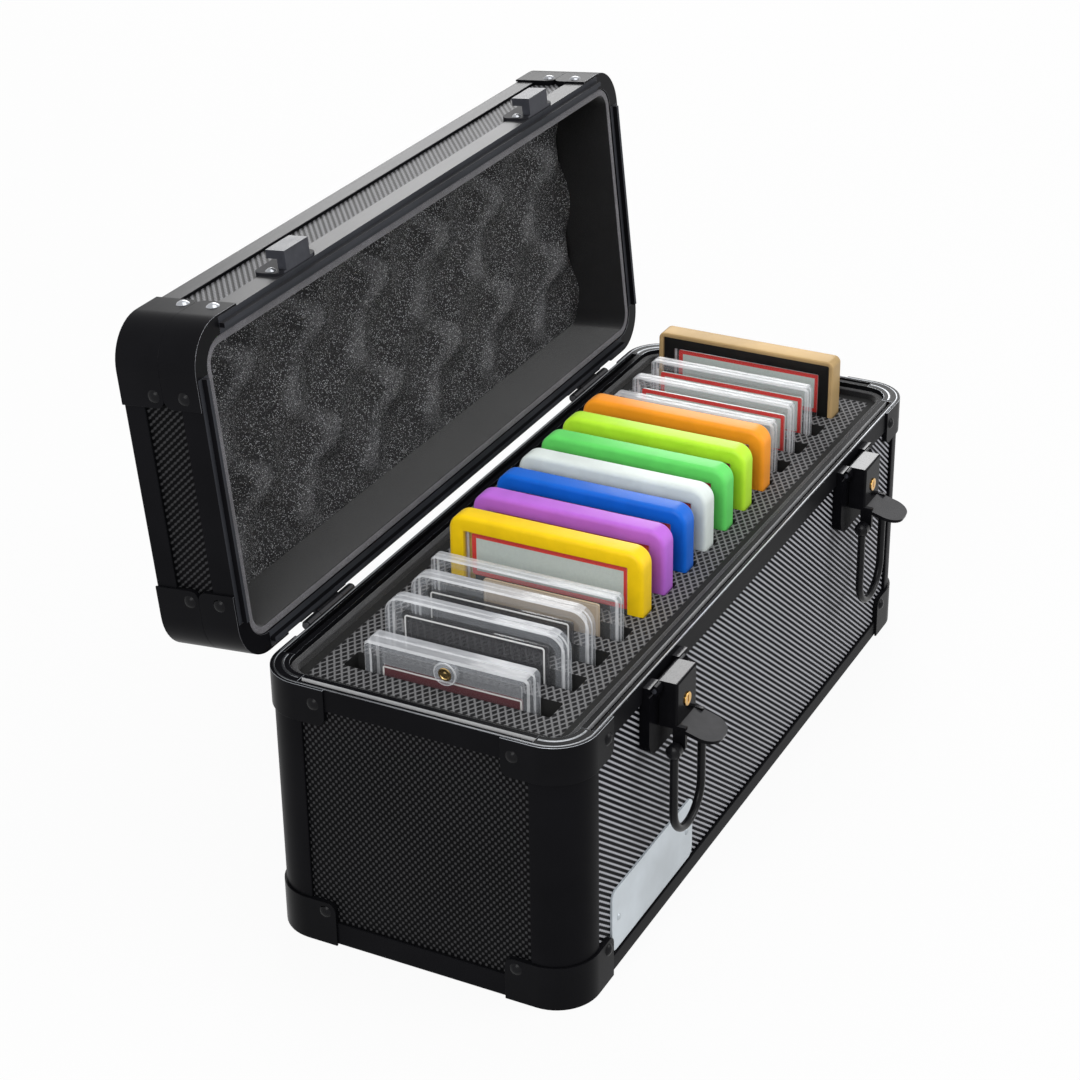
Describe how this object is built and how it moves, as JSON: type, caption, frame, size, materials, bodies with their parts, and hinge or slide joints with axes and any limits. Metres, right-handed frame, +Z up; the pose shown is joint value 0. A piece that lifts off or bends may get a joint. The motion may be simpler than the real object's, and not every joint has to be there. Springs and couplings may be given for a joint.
{
  "type": "trading card case",
  "caption": "Long hard case with a hinged foam-lined lid, two draw latches and a slotted foam insert that holds a row of upright graded-card holders.",
  "frame": {"origin": "middle of the case's underside, on the flat floor skin that it stands on", "axes": "+X along the case to the right seen from the latches, -Y towards the latches, +Y towards the hinges, +Z up"},
  "size_m": [0.3766, 0.2345, 0.276],
  "materials": {
    "panel_board": "black board faced with a fine raised lozenge grain",
    "black_aluminium": "black anodised, satin",
    "black_cap_metal": "black, satin",
    "felt_lining": "dark grey needle felt",
    "insert_foam": "closed-cell foam with a pressed diamond waffle",
    "crate_foam": "open-cell egg-crate foam",
    "plate_silver": "blank, satin",
    "rivet_black": "black dome rivets, satin",
    "dark_chrome": "dark polished plating",
    "black_wire": "black, satin",
    "brass": "polished",
    "black_grip": "smooth, matte",
    "clear_shell": "clear, polished",
    "bumper_yellow": "smooth, satin",
    "bumper_purple": "smooth, satin",
    "bumper_blue": "smooth, satin",
    "bumper_white": "smooth, satin",
    "bumper_green": "smooth, satin",
    "bumper_lime": "smooth, satin",
    "bumper_orange": "smooth, satin",
    "frame_gold": "gold anodised, brushed"
  },
  "bodies": {
    "base": {"floor_panel": "panel_board", "front_panel": "panel_board", "rear_panel": "panel_board", "left_panel": "panel_board", "right_panel": "panel_board", "corner_posts": "black_aluminium", "bottom_rails": "black_aluminium", "bottom_corner_caps": "black_cap_metal", "base_rim_rails": "black_aluminium", "base_rim_corners": "black_cap_metal", "base_lining": "felt_lining", "slotted_foam": "insert_foam", "label_plate": "plate_silver", "base_rivets": "rivet_black", "hinge_base_leaves": "dark_chrome", "hinge_pins": "dark_chrome", "latch_plate_left": "dark_chrome", "latch_plate_right": "dark_chrome", "latch_pins": "dark_chrome"},
    "lid": {"lid_top_panel": "panel_board", "lid_front_panel": "panel_board", "lid_rear_panel": "panel_board", "lid_left_panel": "panel_board", "lid_right_panel": "panel_board", "lid_corner_posts": "black_aluminium", "lid_top_rails": "black_aluminium", "lid_corner_caps": "black_cap_metal", "lid_rim_rails": "black_aluminium", "lid_rim_corners": "black_cap_metal", "lid_lining": "felt_lining", "egg_crate_foam": "crate_foam", "lid_rivets": "rivet_black", "lid_catches": "dark_chrome", "hinge_lid_leaves": "dark_chrome", "handle_brackets": "dark_chrome"},
    "handle": {"handle_bail": "black_wire", "handle_grip": "black_grip"},
    "lever_left": {"latch_lever_left": "dark_chrome", "loop_pins_left": "dark_chrome"},
    "loop_left": {"latch_loop_left": "black_wire"},
    "key_left": {"key_cylinder_left": "brass"},
    "lever_right": {"latch_lever_right": "dark_chrome", "loop_pins_right": "dark_chrome"},
    "loop_right": {"latch_loop_right": "black_wire"},
    "key_right": {"key_cylinder_right": "brass"},
    "slab_01": {"card_slab_01": "clear_shell"},
    "slab_02": {"card_slab_02": "clear_shell"},
    "slab_03": {"card_slab_03": "clear_shell"},
    "slab_04": {"card_slab_04": "clear_shell"},
    "slab_05": {"card_slab_05": "bumper_yellow"},
    "slab_06": {"card_slab_06": "bumper_purple"},
    "slab_07": {"card_slab_07": "bumper_blue"},
    "slab_08": {"card_slab_08": "bumper_white"},
    "slab_09": {"card_slab_09": "bumper_green"},
    "slab_10": {"card_slab_10": "bumper_lime"},
    "slab_11": {"card_slab_11": "bumper_orange"},
    "slab_12": {"card_slab_12": "clear_shell"},
    "slab_13": {"card_slab_13": "clear_shell"},
    "slab_14": {"card_slab_14": "clear_shell"},
    "slab_15": {"card_slab_15": "frame_gold"}
  },
  "joints": [
    {"name": "lid_hinge", "type": "hinge", "parent": "base", "child": "lid", "pos_m": [0, 0.0738, 0.1228], "axis": [-1, 0, 0], "range_deg": [-95.7, 0]},
    {"name": "handle_swing", "type": "hinge", "parent": "lid", "child": "handle", "pos_m": [0, 0.12859, 0.1915], "axis": [1, 0, 0], "range_deg": [-5.7, 174.3]},
    {"name": "lever_left_swing", "type": "hinge", "parent": "base", "child": "lever_left", "pos_m": [-0.107, -0.0745, 0.118], "axis": [-1, 0, 0], "range_deg": [0, 90]},
    {"name": "loop_left_swing", "type": "hinge", "parent": "lever_left", "child": "loop_left", "pos_m": [-0.107, -0.0835, 0.092], "axis": [-1, 0, 0], "range_deg": [-8, 165]},
    {"name": "key_left_turn", "type": "hinge", "parent": "lever_left", "child": "key_left", "pos_m": [-0.107, -0.0833, 0.109], "axis": [0, -1, 0], "range_deg": [0, 90]},
    {"name": "lever_right_swing", "type": "hinge", "parent": "base", "child": "lever_right", "pos_m": [0.107, -0.0745, 0.118], "axis": [-1, 0, 0], "range_deg": [0, 90]},
    {"name": "loop_right_swing", "type": "hinge", "parent": "lever_right", "child": "loop_right", "pos_m": [0.107, -0.0835, 0.092], "axis": [-1, 0, 0], "range_deg": [-8, 165]},
    {"name": "key_right_turn", "type": "hinge", "parent": "lever_right", "child": "key_right", "pos_m": [0.107, -0.0833, 0.109], "axis": [0, -1, 0], "range_deg": [0, 90]},
    {"name": "slab_01_lift", "type": "slide", "parent": "base", "child": "slab_01", "axis": [0, 0, 1], "range_m": [0, 0.15]},
    {"name": "slab_02_lift", "type": "slide", "parent": "base", "child": "slab_02", "axis": [0, 0, 1], "range_m": [0, 0.15]},
    {"name": "slab_03_lift", "type": "slide", "parent": "base", "child": "slab_03", "axis": [0, 0, 1], "range_m": [0, 0.15]},
    {"name": "slab_04_lift", "type": "slide", "parent": "base", "child": "slab_04", "axis": [0, 0, 1], "range_m": [0, 0.15]},
    {"name": "slab_05_lift", "type": "slide", "parent": "base", "child": "slab_05", "axis": [0, 0, 1], "range_m": [0, 0.15]},
    {"name": "slab_06_lift", "type": "slide", "parent": "base", "child": "slab_06", "axis": [0, 0, 1], "range_m": [0, 0.15]},
    {"name": "slab_07_lift", "type": "slide", "parent": "base", "child": "slab_07", "axis": [0, 0, 1], "range_m": [0, 0.15]},
    {"name": "slab_08_lift", "type": "slide", "parent": "base", "child": "slab_08", "axis": [0, 0, 1], "range_m": [0, 0.15]},
    {"name": "slab_09_lift", "type": "slide", "parent": "base", "child": "slab_09", "axis": [0, 0, 1], "range_m": [0, 0.15]},
    {"name": "slab_10_lift", "type": "slide", "parent": "base", "child": "slab_10", "axis": [0, 0, 1], "range_m": [0, 0.15]},
    {"name": "slab_11_lift", "type": "slide", "parent": "base", "child": "slab_11", "axis": [0, 0, 1], "range_m": [0, 0.15]},
    {"name": "slab_12_lift", "type": "slide", "parent": "base", "child": "slab_12", "axis": [0, 0, 1], "range_m": [0, 0.15]},
    {"name": "slab_13_lift", "type": "slide", "parent": "base", "child": "slab_13", "axis": [0, 0, 1], "range_m": [0, 0.15]},
    {"name": "slab_14_lift", "type": "slide", "parent": "base", "child": "slab_14", "axis": [0, 0, 1], "range_m": [0, 0.15]},
    {"name": "slab_15_lift", "type": "slide", "parent": "base", "child": "slab_15", "axis": [0, 0, 1], "range_m": [0, 0.15]}
  ]
}
